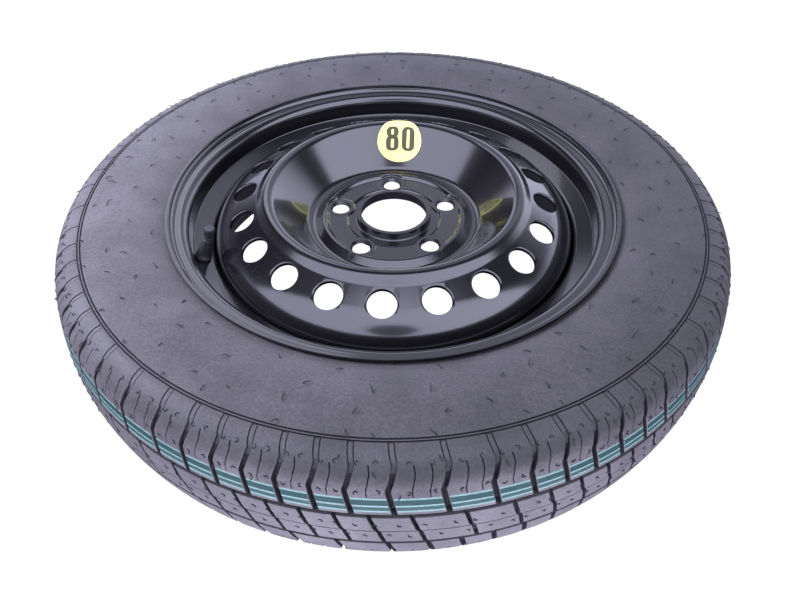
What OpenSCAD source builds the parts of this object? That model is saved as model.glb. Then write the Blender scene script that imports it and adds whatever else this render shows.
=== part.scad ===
// Temporary spare wheel: a narrow tyre on a welded steel disc wheel.
// It lies on its side with the street face up. Z is the spin axis, and z = 0 is the floor under the tyre.
// Sections are drawn as radius and height. Heights named h are measured from the mid-plane of the tyre.

/* [Tyre] */
// Overall diameter of the tyre
tyre_d = 649.4; // [635:0.2:660]
// How far each sidewall stands out past the rim's flange
bulge_out = 5.7; // [3:0.1:9]
// Where the sidewall is widest, as a share of the way from the bead seat to the tread
bulge_share = 0.5103; // [0.45:0.001:0.56]
// How far each sidewall has come in again at the shoulder
shoulder_drop = 1; // [0.5:0.1:3]
// Radius of the tread's crown arc
crown_r = 162; // [130:1:220]
// Radius of the arc that rounds each shoulder
shoulder_r = 26; // [20:0.5:32]
// Rubber thickness under the tread
tread_t = 16; // [13:0.5:20]
// Rubber thickness of the sidewalls
sidewall_t = 7; // [5:0.2:9]
// Length of each bead along the rim's seat
bead_w = 14.5; // [12:0.5:15]

/* [Tread] */
// Distance from the mid-plane to the middle of each groove that runs round the tread
ring_groove_h = 19.5; // [15:0.5:26]
// Width of the grooves that run round the tread
ring_groove_w = 3.6; // [2:0.1:6]
// Depth of all the tread's grooves
groove_depth = 5; // [3:0.1:6]
// Width of the cross grooves
cross_groove_w = 4; // [2.5:0.1:6]
// Width of the jog in each groove of the centre rib
jog_w = 1.8; // [0.5:0.1:3]
// Times that the row of block lengths is repeated round the tread
pitch_repeats = 8; // [6:1:9]

/* [Rim] */
// Diameter of the bead seats
seat_d = 405.6; // [400:0.2:411]
// Width between the flanges
rim_w = 101.6; // [99:0.2:104]
// Sheet thickness of the rim
rim_t = 2.5; // [2:0.1:3]
// Height of the flanges above the bead seats
flange_h = 16.2; // [15.4:0.1:17]
// Radius of the curl of each flange on the tyre's side
flange_r = 9.5; // [8.5:0.1:10.5]
// Radius between each flange and its bead seat
seat_corner_r = 6.5; // [5.5:0.1:7]
// Taper of the bead seats in degrees
seat_taper = 5; // [4:0.5:6]
// Width of each bead seat from its flange to its shelf
seat_w = 20.7; // [20:0.1:22]
// Height of the safety hump on each seat
hump_h = 0.6; // [0.3:0.1:0.9]
// Depth of the drop well below the bead seats
well_depth = 19.65; // [18:0.05:21]
// Slope of the shelf that carries the valve in degrees
shelf_slope = 22; // [18:0.5:26]
// Distance from the mid-plane to the back end of the well's floor
well_back_h = 18; // [16:0.5:20]
// Distance from the flat of each seat's bead to the middle of the hump behind it
hump_gap = 3; // [2.5:0.1:3.4]
// Width of the humps
hump_w = 5; // [4:0.1:5.6]
// Slope of the back shoulder of the well in degrees
well_back_slope = 35; // [30:1:40]

/* [Disc] */
// Sheet thickness of the disc
disc_t = 3.5; // [3:0.1:3.8]
// Distance from the mid-plane to the mounting face
wheel_offset = 21.5; // [18:0.5:24]
// Radius of the centre bore
bore_r = 33.05; // [31:0.05:35]
// Height of the centre collar above the mounting face
collar_h = 12; // [10:0.5:15]
// Height of the bolt pad's top above the mounting face
pad_h = 5.5; // [5:0.1:6]
// Width of the bolt pad's top inside the bolt circle
pad_in = 8.65; // [8:0.05:9.5]
// Width of the bolt pad's top outside the bolt circle
pad_out = 8.35; // [8:0.05:9.5]
// Height of the ring round the pad above the mounting face
pad_ring_h = 8.5; // [7.5:0.1:9.5]
// Height of the crown above the mounting face
crown_h = 42; // [38:0.5:45]
// Width of the flat between the ring round the pad and the bowl's wall
bowl_gap = 6.13; // [5:0.01:8]
// Place of the crown, as a share of the way from the bowl's foot to the skirt
crown_share = 0.399; // [0.37:0.001:0.42]
// Radius of the crown's rounding
crown_round = 9; // [7:0.5:10]
// Slope of the crown's outer side in degrees
crown_slope = 40; // [36:0.5:44]
// Width of the crown's outer side, down to the ring with the vent holes
crown_side_w = 5.2; // [4:0.1:6.5]
// Place of the vent holes, as a share of the way from the bowl's foot to the skirt
vent_share = 0.6793; // [0.67:0.0001:0.7]
// Height of the disc at the vent holes above the mounting face
vent_h = 29.3; // [27:0.1:31]
// Number of vent holes
vent_count = 20; // [12:1:22]
// Radius of the vent holes
vent_r = 13; // [10:0.5:14]
// Place of the first vent hole in degrees
vent_az = 212.6; // [200:0.1:225]
// Slope between the ring with the vent holes and the skirt in degrees
skirt_slope = 44; // [38:0.5:50]
// Length of the skirt that fits in the well
skirt_len = 32; // [24:0.5:36]

/* [Bolts] */
// Diameter of the bolt circle
bolt_pcd = 114.3; // [112:0.1:116]
// Number of bolts
bolt_count = 5; // [4:1:6]
// Place of the first bolt in degrees
bolt_az = 92.5; // [0:0.5:180]
// Radius of the bolt holes
bolt_hole_r = 7.9; // [6.5:0.1:8.5]
// Radius of the mouth of the conical bolt seats
bolt_seat_r = 10.5; // [10:0.1:11.5]
// Full angle of the bolt seats in degrees
bolt_seat_angle = 60; // [55:1:70]
// Radius of the flat land round each bolt hole
land_r = 13.5; // [12.5:0.1:14]
// Width of the flared wall round each land
land_flare = 2.5; // [1:0.1:3]

/* [Weld] */
// Number of weld beads behind the skirt
weld_count = 8; // [4:1:12]
// Angle that each weld bead covers in degrees
weld_span = 22; // [10:1:28]
// Leg of the weld beads
weld_leg = 3; // [2:0.1:3.4]

/* [Speed label] */
// Diameter of the round label
label_d = 49; // [40:0.5:52]
// Thickness of the label
label_t = 0.3; // [0.1:0.05:0.5]
// Distance from the crown's edge in to the label's middle
label_in = 8.8; // [6:0.1:11]
// Place of the label in degrees
label_az = 87; // [60:1:120]

/* [Valve] */
// Place of the valve round the rim in degrees
valve_az = 200; // [190:1:210]
// Radius of the valve hole in the rim
valve_hole_r = 5.75; // [5.6:0.05:5.9]
// Radius of the rubber body above the rim
valve_body_r = 7.6; // [7:0.1:8.5]
// Radius of the rubber foot inside the tyre
valve_foot_r = 9.5; // [9:0.1:11]
// Height of the rubber foot
valve_foot_h = 6; // [5:0.1:8]
// Length of the rubber above the rim's tyre side
valve_body_len = 24.5; // [22:0.5:27]
// Length of the stem above the rim's tyre side
valve_len = 34; // [33:0.5:36]
// Outer radius of the stem's thread
stem_r = 3.85; // [3.8:0.05:4]
// Radius of the bore that the core screws into
core_r = 2.6; // [2.5:0.05:2.7]
// Radius of the core's pin
pin_r = 0.6; // [0.5:0.05:0.7]
// Travel of the core's pin when it is pressed
pin_travel = 1.2; // [0.8:0.1:1.4]
// Radius of the valve cap
cap_r = 5; // [4.8:0.1:6]
// Height of the valve cap
cap_h = 12; // [11:0.2:14]

/* [Hidden] */
$fn = 96;

// Clearances
bead_gap = 0.1;
skirt_gap = 0.05;
label_gap = 0.1;
valve_gap = 0.1;
part_gap = 0.15;
thread_gap = 0.05;

// Shared places
seat_r = seat_d / 2;
lip_r = seat_r + flange_h;
flange_in = rim_w / 2;
lip_h = flange_in + flange_r;
tyre_w = 2 * (lip_h + bulge_out);
mid_z = tyre_w / 2;
bulge_r = seat_r + bulge_share * (tyre_d / 2 - seat_r);
well_r = seat_r - well_depth;
mount_z = mid_z + wheel_offset;
through = 1;

// Outlines with rounded corners. A path is a list of [radius, height, corner radius].
function unit(v) = v / norm(v);
function left(v) = [-v[1], v[0]];
function spin(v, a) = [v[0] * cos(a) - v[1] * sin(a), v[0] * sin(a) + v[1] * cos(a)];
function xy(p) = [p[0], p[1]];
function way(path, i) = unit(xy(path[i + 1]) - xy(path[i]));
function turn_at(path, i) = let (d1 = way(path, i - 1), d2 = way(path, i))
  atan2(d1[0] * d2[1] - d1[1] * d2[0], d1 * d2);
// Length that a corner's rounding takes from each of its two sides
function cut_at(path, i) = i == 0 || i == len(path) - 1 ? 0 : path[i][2] * tan(abs(turn_at(path, i)) / 2);
// Share of the roundings at both ends of a side that the side has room for
function room(path, i) = let (need = cut_at(path, i) + cut_at(path, i + 1))
  need == 0 ? 1 : min(1, 0.98 * norm(xy(path[i + 1]) - xy(path[i])) / need);
function bend(path, i, step) =
  let (turn = turn_at(path, i), r = path[i][2] * min(room(path, i - 1), room(path, i)),
    side = sign(turn), n = max(1, ceil(abs(turn) / step)), start = left(way(path, i - 1)),
    centre = xy(path[i]) - way(path, i - 1) * r * tan(abs(turn) / 2) + start * side * r)
  [for (k = [0:n]) let (away = spin(start, turn * k / n)) [centre - away * side * r, away]];
// Samples of a path, each with the direction that points to its left
function follow(path, step = 12) = let (last = len(path) - 1) concat(
  [[xy(path[0]), left(way(path, 0))]],
  [for (i = [1:last - 1]) each bend(path, i, step)],
  [[xy(path[last]), left(way(path, last - 1))]]
);
function beside(samples, d) = [for (s = samples) s[0] + d * s[1]];
function reversed(v) = [for (i = [len(v) - 1:-1:0]) v[i]];
function band(samples, d1, d2) = concat(beside(samples, d1), reversed(beside(samples, d2)));
function arc(centre, r, a1, a2, n) = [for (i = [0:n]) centre + r * spin([1, 0], a1 + (a2 - a1) * i / n)];
function flipped(points) = [for (p = reversed(points)) [p[0], -p[1]]];
function total(v, n) = n == 0 ? 0 : v[n - 1] + total(v, n - 1);

module turned(points) {
  rotate_extrude($fn = 180) polygon(points);
}

// Rim, drawn on its tyre side from the street flange to the back flange
function seat_at(h) = seat_r - (flange_in - h) * tan(seat_taper);
shelf_h = flange_in - seat_w;
shelf_r = seat_at(shelf_h);
well_top_h = shelf_h - (shelf_r - well_r) * tan(shelf_slope);
well_back_end = well_back_h + (seat_at(well_back_h + 12) - well_r) * tan(well_back_slope);
rim_path = [
  [lip_r, lip_h, 0],
  [lip_r, flange_in, flange_r],
  [seat_r, flange_in, seat_corner_r],
  [shelf_r, shelf_h, 4],
  [well_r, well_top_h, 4],
  [well_r, -well_back_h, 8],
  [seat_at(well_back_end), -well_back_end, 6],
  [seat_r, -flange_in, seat_corner_r],
  [lip_r, -flange_in, flange_r],
  [lip_r, -lip_h, 0]
];
rim_line = follow(rim_path);
hump_h_mid = flange_in - bead_w - hump_gap;

module hump() {
  sunk = rim_t / 5;
  turned([for (k = [-1, 0, 1]) let (h = hump_h_mid - k * hump_w / 2)
    [seat_at(h) + (k == 0 ? hump_h : -sunk), h]]);
}

module wheel_rim() {
  color("#17161a") difference() {
    translate([0, 0, mid_z]) union() {
      turned(band(rim_line, 0, -rim_t));
      hump();
      mirror([0, 0, 1]) hump();
    }
    at_valve() translate([0, 0, -2 * through]) cylinder(r = valve_hole_r, h = rim_t + 4 * through, $fn = 48);
  }
}

// Tyre, drawn as its upper half from the bead's toe to the crown. Its sidewall leaves the flange at the foot.
foot_r = lip_r + 2;
foot_h = flange_in + 0.6 * flange_r;
bulge_drop = tyre_w / 2 - foot_h;
bulge_arc_r = ((bulge_r - foot_r) ^ 2 + bulge_drop ^ 2) / (2 * bulge_drop);
bulge_centre = [bulge_r, tyre_w / 2 - bulge_arc_r];
tread_centre = [tyre_d / 2 - crown_r, 0];
shoulder_centre_h = tyre_w / 2 - shoulder_drop - shoulder_r;
shoulder_centre = [tread_centre[0] + sqrt((crown_r - shoulder_r) ^ 2 - shoulder_centre_h ^ 2), shoulder_centre_h];
shoulder_tilt = atan2(shoulder_centre[1], shoulder_centre[0] - tread_centre[0]);
function tread_at(h) = tread_centre[0] + sqrt(crown_r ^ 2 - h ^ 2);
foot_tilt = atan2(foot_h - bulge_centre[1], foot_r - bulge_r);
bead_line = [for (s = rim_line) if (s[0][1] > flange_in - bead_w + seat_corner_r && s[0][1] < foot_h - 0.05 * flange_r) s];
toe = [seat_at(flange_in - bead_w) + bead_gap, flange_in - bead_w];
// Size of the ring line moulded between the sidewall and the shoulder
ring_mark = 0.5;
shoulder_end_tilt = 78;
tyre_outside = concat(
  [toe],
  reversed(beside(bead_line, bead_gap)),
  arc(bulge_centre, bulge_arc_r, foot_tilt, 90, 6),
  [for (s = [-1, 0, 1]) shoulder_centre + [ring_mark * s, shoulder_r - (s == 0 ? ring_mark : 0)]],
  arc(shoulder_centre, shoulder_r, shoulder_end_tilt, shoulder_tilt, 4),
  [
    for (h = [(shoulder_centre_h + ring_groove_h) / 2, ring_groove_h + ring_groove_w / 2]) [tread_at(h), h],
    [tread_at(ring_groove_h) - groove_depth, ring_groove_h + ring_groove_w * 0.3],
    [tread_at(ring_groove_h) - groove_depth, ring_groove_h - ring_groove_w * 0.3],
    [tread_at(ring_groove_h), ring_groove_h - ring_groove_w / 2],
    [tread_at(ring_groove_h / 2), ring_groove_h / 2]
  ]
);
bead_t = 9;
inner_h = tyre_w / 2 - sidewall_t;
cavity_path = [
  [toe[0], toe[1], 0],
  [seat_r + bead_t, toe[1] - 1, 7],
  [foot_r + 0.36 * (bulge_r - foot_r), inner_h - 4, 16],
  [bulge_r, inner_h, 40],
  [tyre_d / 2 - tread_t, inner_h - 1, 24],
  [tyre_d / 2 - tread_t, 0, 0]
];
tyre_inside = [for (s = follow(cavity_path, 18)) s[0]];

// Block lengths along the tread, in the order in which they come round
pitch_row = [24, 24, 24, 29, 37, 34, 27, 25, 24];
row_len = total(pitch_row, len(pitch_row));
first_groove_az = 270 - 360 / pitch_repeats * total(pitch_row, 4) / row_len;
groove_az = [
  for (k = [0:pitch_repeats - 1]) for (i = [0:len(pitch_row) - 1])
    first_groove_az + 360 / pitch_repeats * (k + total(pitch_row, i) / row_len)
];
half_pitch_az = 180 / pitch_repeats / len(pitch_row);

// Cross grooves as a line of [sideways, height], seen from outside
rib_h = ring_groove_h - ring_groove_w / 2;
shoulder_line = [[0, tyre_w / 2 + 4], [0, tyre_w / 2], [2.8, 59.5], [-1.8, 44], [3.2, ring_groove_h]];
centre_slant = 11;
centre_line = [[0, rib_h + 1], [centre_slant / 2 - 0.5, 1.5], [centre_slant / 2 - 0.5 + jog_w, -0.5], [centre_slant, -rib_h - 1]];
function strip(line, w) = concat([for (p = line) p - [w / 2, 0]], [for (p = reversed(line)) p + [w / 2, 0]]);
// The floor of the shoulder grooves, which get deeper from the ring mark to the tread
groove_start_tilt = 82;
shoulder_floor = [
  shoulder_centre + shoulder_r * spin([1, 0], groove_start_tilt) + [0, 1],
  shoulder_centre + (shoulder_r - 0.35 * groove_depth) * spin([1, 0], 48),
  shoulder_centre + (shoulder_r - 0.85 * groove_depth) * spin([1, 0], shoulder_tilt),
  [tread_at(ring_groove_h) - groove_depth, ring_groove_h]
];
cut_r = tyre_d / 2 + 4;
cut_half_w = max([for (p = shoulder_line) abs(p[0])]) + cross_groove_w;

module shoulder_groove() {
  intersection() {
    rotate([90, 0, 90]) translate([0, 0, shoulder_centre[0] - 2])
      linear_extrude(cut_r - shoulder_centre[0] + 2) polygon(strip(shoulder_line, cross_groove_w));
    rotate([90, 0, 0]) translate([0, 0, -cut_half_w]) linear_extrude(2 * cut_half_w)
      polygon(concat(shoulder_floor, [[cut_r, ring_groove_h], [cut_r, tyre_w / 2 + 4], [shoulder_floor[0][0], tyre_w / 2 + 4]]));
  }
}

module centre_groove() {
  floor_r = tread_at(0) - groove_depth;
  rotate([90, 0, 90]) translate([0, 0, floor_r])
    linear_extrude(cut_r - floor_r) polygon(strip(centre_line, cross_groove_w * 0.8));
}

module tyre() {
  section = concat(tyre_outside, [[tyre_d / 2, 0]], flipped(tyre_outside), reversed(concat(tyre_inside, flipped(tyre_inside))));
  color("#4a4850") translate([0, 0, mid_z]) difference() {
    turned(section);
    for (a = groove_az) rotate([0, 0, a]) shoulder_groove();
    for (a = groove_az) rotate([0, 0, a + half_pitch_az]) centre_groove();
    for (a = groove_az) rotate([0, 0, a]) rotate([180, 0, 0]) shoulder_groove();
  }
}

// Disc, drawn on its street side from the collar out to the skirt. Heights are above the mounting face.
pitch_r = bolt_pcd / 2;
skirt_r = well_r - rim_t - skirt_gap;
pad_wall_in = 2.5;
pad_wall_out = 3.5;
ring_top_w = 2.5;
ring_wall_out = 8.8;
ring_in_r = pitch_r + pad_out + pad_wall_out;
ring_end_r = ring_in_r + ring_top_w + ring_wall_out;
bowl_foot_r = ring_end_r + bowl_gap;
crown_centre = [bowl_foot_r + crown_share * (skirt_r - bowl_foot_r), crown_h - crown_round];
bowl_side = crown_centre - [bowl_foot_r, disc_t];
bowl_slope = atan2(bowl_side[1], bowl_side[0]) + asin(crown_round / norm(bowl_side));
bowl_touch = crown_centre + crown_round * spin([0, 1], bowl_slope);
function meet(p, a, q, b) = let (t = ((q[1] - p[1]) - tan(b) * (q[0] - p[0])) / (tan(a) - tan(b))) p + t * [1, tan(a)];
vent_mid = [bowl_foot_r + vent_share * (skirt_r - bowl_foot_r), vent_h];
crown_out = crown_centre + crown_round * spin([0, 1], -crown_slope);
crown_top = meet(bowl_touch, bowl_slope, crown_out, -crown_slope);
crown_foot = crown_out + crown_side_w * [1, -tan(crown_slope)];
vent_slope = atan2(crown_foot[1] - vent_mid[1], vent_mid[0] - crown_foot[0]);
vent_end = vent_mid + 0.97 * vent_r * [1, -tan(vent_slope)];
skirt_top = vent_end + (skirt_r - vent_end[0]) * [1, -tan(skirt_slope)];
// Smallest street-side radius of an outward bend, which leaves a radius on the back of the sheet
tight_r = disc_t + 0.1;
disc_path = [
  [bore_r + disc_t, collar_h, 0],
  [bore_r + disc_t, disc_t, 2],
  [pitch_r - pad_in - pad_wall_in, disc_t, 3],
  [pitch_r - pad_in, pad_h, tight_r],
  [pitch_r + pad_out, pad_h, 2.5],
  [ring_in_r, pad_ring_h, tight_r],
  [ring_in_r + ring_top_w, pad_ring_h, tight_r + 0.5],
  [ring_end_r, disc_t, 6],
  [bowl_foot_r, disc_t, 9.5],
  [crown_top[0], crown_top[1], crown_round],
  [crown_foot[0], crown_foot[1], 8],
  [vent_end[0], vent_end[1], 20],
  [skirt_top[0], skirt_top[1], 10],
  [skirt_r, skirt_top[1] - skirt_len, 0]
];
disc_line = follow(disc_path, 15);
seat_grow = tan(bolt_seat_angle / 2);
land_sink = 0.2;
land_z = pad_h - land_sink;
seat_z = land_z - (bolt_seat_r - bolt_hole_r) / seat_grow;

module at_bolts() {
  for (k = [0:bolt_count - 1]) rotate([0, 0, bolt_az + 360 * k / bolt_count]) translate([pitch_r, 0, mount_z]) children();
}

module at_vents() {
  for (k = [0:vent_count - 1]) rotate([0, 0, vent_az + 360 * k / vent_count])
    translate([vent_mid[0], 0, mount_z + vent_mid[1]]) rotate([0, vent_slope, 0]) children();
}

module wheel_disc() {
  back_gap = 0.2;
  color("#141317") difference() {
    union() {
      translate([0, 0, mount_z]) turned(band(disc_line, 0, -disc_t));
      at_bolts() translate([0, 0, land_z - disc_t]) cylinder(r = land_r + land_flare, h = disc_t + land_sink / 2, $fn = 48);
      at_bolts() translate([0, 0, back_gap]) cylinder(r = bolt_seat_r, h = disc_t - back_gap, $fn = 48);
    }
    at_bolts() translate([0, 0, land_z])
      cylinder(r1 = land_r, r2 = land_r + pad_ring_h * land_flare / (pad_ring_h - land_z), h = pad_ring_h, $fn = 48);
    at_bolts() translate([0, 0, seat_z - through])
      cylinder(r1 = bolt_hole_r - seat_grow * through, r2 = bolt_seat_r + seat_grow * through, h = land_z - seat_z + 2 * through, $fn = 48);
    at_bolts() translate([0, 0, -through]) cylinder(r = bolt_hole_r, h = pad_h + 2 * through, $fn = 48);
    at_vents() translate([0, 0, -2 * disc_t]) cylinder(r = vent_r, h = 4 * disc_t, $fn = 64);
  }
}

// Weld beads in the corner between the skirt's edge and the well
skirt_end_z = mount_z + skirt_top[1] - skirt_len;

module weld_seams() {
  r = well_r - rim_t;
  color("#1d1c20") for (k = [0:weld_count - 1]) rotate([0, 0, 360 / weld_count * k])
    rotate_extrude(angle = weld_span, $fn = 180)
      polygon([[r, skirt_end_z], [r, skirt_end_z - weld_leg], [r - weld_leg, skirt_end_z]]);
}

// Round label that lies on the bowl's wall and laps over the crown
label_r = bowl_touch[0] - label_in;
label_z = mount_z + bowl_touch[1] + (label_r - bowl_touch[0]) * tan(bowl_slope);

module speed_sticker() {
  color("#dcdc8c") intersection() {
    translate([0, 0, mount_z]) turned(band(disc_line, label_gap, label_gap + label_t));
    rotate([0, 0, label_az]) translate([label_r, 0, label_z]) rotate([0, -bowl_slope, 0])
      translate([0, 0, -label_d / 2]) cylinder(d = label_d, h = label_d, $fn = 72);
  }
}

// Valve. Its own height 0 is the tyre side of the rim's shelf.
valve_r = (shelf_r + well_r) / 2 + 0.6;
valve_h = shelf_h - (shelf_r - valve_r) * tan(shelf_slope);

module at_valve() {
  rotate([0, 0, valve_az]) translate([valve_r, 0, mid_z + valve_h]) rotate([0, -shelf_slope, 0]) children();
}

module ring(outer, inner, z1, z2, f = 48) {
  translate([0, 0, z1]) difference() {
    cylinder(r = outer, h = z2 - z1, $fn = f);
    translate([0, 0, -through]) cylinder(r = inner, h = z2 - z1 + 2 * through, $fn = f);
  }
}

neck_r = valve_hole_r - thread_gap;
body_end_r = stem_r + 1.4;
stem_foot_z = -valve_foot_h / 2;
stem_body_r = stem_r - 0.6;

module valve_body() {
  shoulder_z = rim_t + valve_gap;
  color("#1b1b1d") at_valve() rotate_extrude($fn = 64) polygon([
    [1.6, -valve_foot_h], [valve_foot_r - 2, -valve_foot_h], [valve_foot_r, -valve_foot_h + 2.2],
    [valve_foot_r, -valve_gap - 0.8], [valve_foot_r - 0.8, -valve_gap], [neck_r, -valve_gap], [neck_r, shoulder_z],
    [valve_body_r - 0.6, shoulder_z], [valve_body_r, shoulder_z + 0.8], [valve_body_r, shoulder_z + 3.5],
    [body_end_r + 0.5, valve_body_len - 5], [body_end_r, valve_body_len - 0.6], [body_end_r - 0.5, valve_body_len],
    [stem_body_r, valve_body_len], [stem_body_r, stem_foot_z + 1.4], [stem_r, stem_foot_z + 1.4],
    [stem_r, stem_foot_z], [1.6, stem_foot_z]
  ]);
}

// Core heights, measured down from the stem's mouth
plug_top_z = valve_len - 0.6;
plug_h = 4.6;
barrel_top_z = plug_top_z - plug_h;
barrel_h = 6;
barrel_end_z = barrel_top_z - barrel_h;
barrel_r = 2;
barrel_bore_r = 1.35;
gasket_top_z = barrel_top_z - 1.2;
gasket_h = 2.4;
pin_top_z = valve_len - 0.3;
pin_head_h = 1;
seal_r = 1.7;
seal_h = 1.85;
seal_top_z = barrel_end_z - thread_gap;
pin_end_z = seal_top_z - seal_h - 0.5;
core_bore_r = seal_r + 0.35;
core_bore_end_z = pin_end_z - pin_travel - 1.4;

module valve_stem() {
  step_z = gasket_top_z - gasket_h - 0.3;
  color("#b79a5a") at_valve() difference() {
    union() {
      translate([0, 0, stem_foot_z]) cylinder(r = stem_r, h = 1.4, $fn = 48);
      translate([0, 0, stem_foot_z]) cylinder(r = stem_body_r, h = valve_body_len - stem_foot_z, $fn = 48);
      translate([0, 0, valve_body_len]) cylinder(r = stem_r, h = valve_len - valve_body_len, $fn = 48);
    }
    translate([0, 0, stem_foot_z - through]) cylinder(r = 1.6, h = valve_len, $fn = 32);
    translate([0, 0, core_bore_end_z]) cylinder(r = core_bore_r, h = valve_len, $fn = 32);
    translate([0, 0, step_z]) cylinder(r1 = core_bore_r, r2 = core_r, h = 1.4, $fn = 48);
    translate([0, 0, step_z + 1.4]) cylinder(r = core_r, h = valve_len, $fn = 48);
  }
}

module valve_core_plug() {
  bridge_w = 2.4;
  color("#c8b070") at_valve() difference() {
    translate([0, 0, barrel_top_z]) cylinder(r = core_r - thread_gap, h = plug_h, $fn = 32);
    translate([0, 0, barrel_top_z - through]) cylinder(r = barrel_bore_r, h = plug_h + 2 * through, $fn = 32);
    for (s = [-1, 1]) translate([s * (bridge_w / 2 + 2) - 2, -4, plug_top_z - 1.6]) cube([4, 8, 2]);
  }
}

module valve_core_barrel() {
  color("#c8b070") at_valve() difference() {
    union() {
      ring(barrel_r, barrel_bore_r, barrel_end_z, barrel_top_z, 32);
      ring(barrel_bore_r + 0.2, pin_r + part_gap, barrel_end_z, barrel_end_z + 0.8, 32);
    }
    ring(barrel_r + 1, barrel_r - 0.3, gasket_top_z - gasket_h, gasket_top_z, 32);
  }
}

module valve_core_gasket() {
  color("#b03a30") at_valve() translate([0, 0, gasket_top_z - gasket_h]) difference() {
    cylinder(r1 = core_bore_r - thread_gap, r2 = core_r - thread_gap, h = gasket_h, $fn = 32);
    translate([0, 0, -through]) cylinder(r = barrel_r - 0.3, h = gasket_h + 2 * through, $fn = 32);
  }
}

module valve_core_pin() {
  color("#d8c890") at_valve() {
    translate([0, 0, pin_end_z]) cylinder(r = pin_r, h = pin_top_z - pin_end_z, $fn = 24);
    translate([0, 0, pin_top_z - pin_head_h - 2]) cylinder(r = barrel_bore_r - part_gap, h = pin_head_h, $fn = 24);
  }
}

module valve_core_seal() {
  color("#262626") at_valve() ring(seal_r, pin_r, seal_top_z - seal_h, seal_top_z, 24);
}

spring_wire_r = 0.15;
spring_coils = 6;
spring_z1 = barrel_end_z + 0.8 + spring_wire_r;
spring_z2 = pin_top_z - pin_head_h - 2 - spring_wire_r;

module valve_core_spring() {
  sides = 6;
  per_turn = 12;
  rings = spring_coils * per_turn;
  mid_r = (barrel_bore_r + pin_r) / 2;
  color("#c0c0c0") at_valve() polyhedron(
    points = [for (i = [0:rings]) for (j = [0:sides - 1])
      let (a = 360 * i / per_turn, b = 360 * j / sides, r = mid_r + spring_wire_r * cos(b))
      [r * cos(a), r * sin(a), spring_z1 + (spring_z2 - spring_z1) * i / rings + spring_wire_r * sin(b)]],
    faces = concat(
      [[for (j = [sides - 1:-1:0]) j]],
      [for (i = [0:rings - 1]) for (j = [0:sides - 1])
        [i * sides + j, i * sides + (j + 1) % sides, (i + 1) * sides + (j + 1) % sides, (i + 1) * sides + j]],
      [[for (j = [0:sides - 1]) rings * sides + j]]
    )
  );
}

// Cap, which screws on the stem's thread above the rubber
cap_z1 = valve_body_len + 0.3;
cap_wall = cap_r - stem_r - thread_gap;
cap_roof_z = cap_z1 + cap_h - 1.2;

module valve_cap() {
  color("#121214") at_valve() difference() {
    rotate_extrude($fn = 48) polygon([
      [0, cap_z1], [cap_r, cap_z1], [cap_r, cap_z1 + cap_h - 1.5], [cap_r - 1.2, cap_z1 + cap_h], [0, cap_z1 + cap_h]
    ]);
    translate([0, 0, cap_z1 - through]) cylinder(r = cap_r - cap_wall, h = cap_roof_z - cap_z1 + through, $fn = 48);
  }
}

module valve_cap_seal() {
  color("#8a2020") at_valve() ring(stem_r - 0.1, core_r - 0.2, valve_len + 0.02, cap_roof_z, 32);
}

tyre();
wheel_rim();
wheel_disc();
weld_seams();
speed_sticker();
valve_body();
valve_stem();
valve_core_plug();
valve_core_barrel();
valve_core_gasket();
valve_core_pin();
valve_core_seal();
valve_core_spring();
valve_cap();
valve_cap_seal();
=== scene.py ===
"""Temporary spare wheel, lying with its street face up on a light table."""
import bisect
import math
import random

import bmesh
import bpy
from mathutils import Matrix, Vector


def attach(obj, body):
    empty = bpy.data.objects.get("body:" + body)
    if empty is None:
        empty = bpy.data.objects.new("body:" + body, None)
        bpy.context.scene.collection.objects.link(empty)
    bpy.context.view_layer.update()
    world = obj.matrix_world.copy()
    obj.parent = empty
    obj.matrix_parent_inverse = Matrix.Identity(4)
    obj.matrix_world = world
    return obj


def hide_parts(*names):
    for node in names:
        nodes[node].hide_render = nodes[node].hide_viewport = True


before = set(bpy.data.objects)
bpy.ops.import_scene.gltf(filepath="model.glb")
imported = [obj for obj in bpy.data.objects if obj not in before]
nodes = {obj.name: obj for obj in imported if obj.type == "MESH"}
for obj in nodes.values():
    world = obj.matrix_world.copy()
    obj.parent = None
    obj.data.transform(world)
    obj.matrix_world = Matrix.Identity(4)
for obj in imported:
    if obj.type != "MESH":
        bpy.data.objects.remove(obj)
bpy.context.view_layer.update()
random.seed(5)
MM = 0.001
scene = bpy.context.scene


# Camera at the photograph's angle
SENSOR_W, LENS = 36, 29.49
CAMERA_AT = (0.0063, -0.5357, 0.5047)
CAMERA_TILT = 45.16


def make_camera():
    data = bpy.data.cameras.new("camera")
    data.sensor_width = SENSOR_W
    data.lens = LENS
    data.dof.use_dof = False
    cam = bpy.data.objects.new("camera", data)
    cam.location = CAMERA_AT
    cam.rotation_euler = (math.radians(CAMERA_TILT), 0, 0)
    scene.collection.objects.link(cam)
    scene.camera = cam


make_camera()


# Materials
COAT_ROUGH = 0.06
SPOT_EDGES = (0.3, 0.7)
BROAD_GRAIN = 26
BUMP_DEPTH = 0.0003


def add_noise(tree, coord, scale, detail):
    node = tree.nodes.new("ShaderNodeTexNoise")
    node.inputs["Scale"].default_value = scale
    node.inputs["Detail"].default_value = detail
    tree.links.new(coord.outputs["Object"], node.inputs["Vector"])
    return node.outputs["Fac"]


def add_spots(tree, noise, color, spots):
    """The colour, darker and lighter by a share with the noise."""
    ramp = tree.nodes.new("ShaderNodeValToRGB")
    for element, edge, gain in zip(ramp.color_ramp.elements, SPOT_EDGES, (1 - spots, 1 + spots)):
        element.position = edge
        element.color = (*[c * gain for c in color], 1)
    tree.links.new(noise, ramp.inputs["Fac"])
    return ramp.outputs["Color"]


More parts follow.
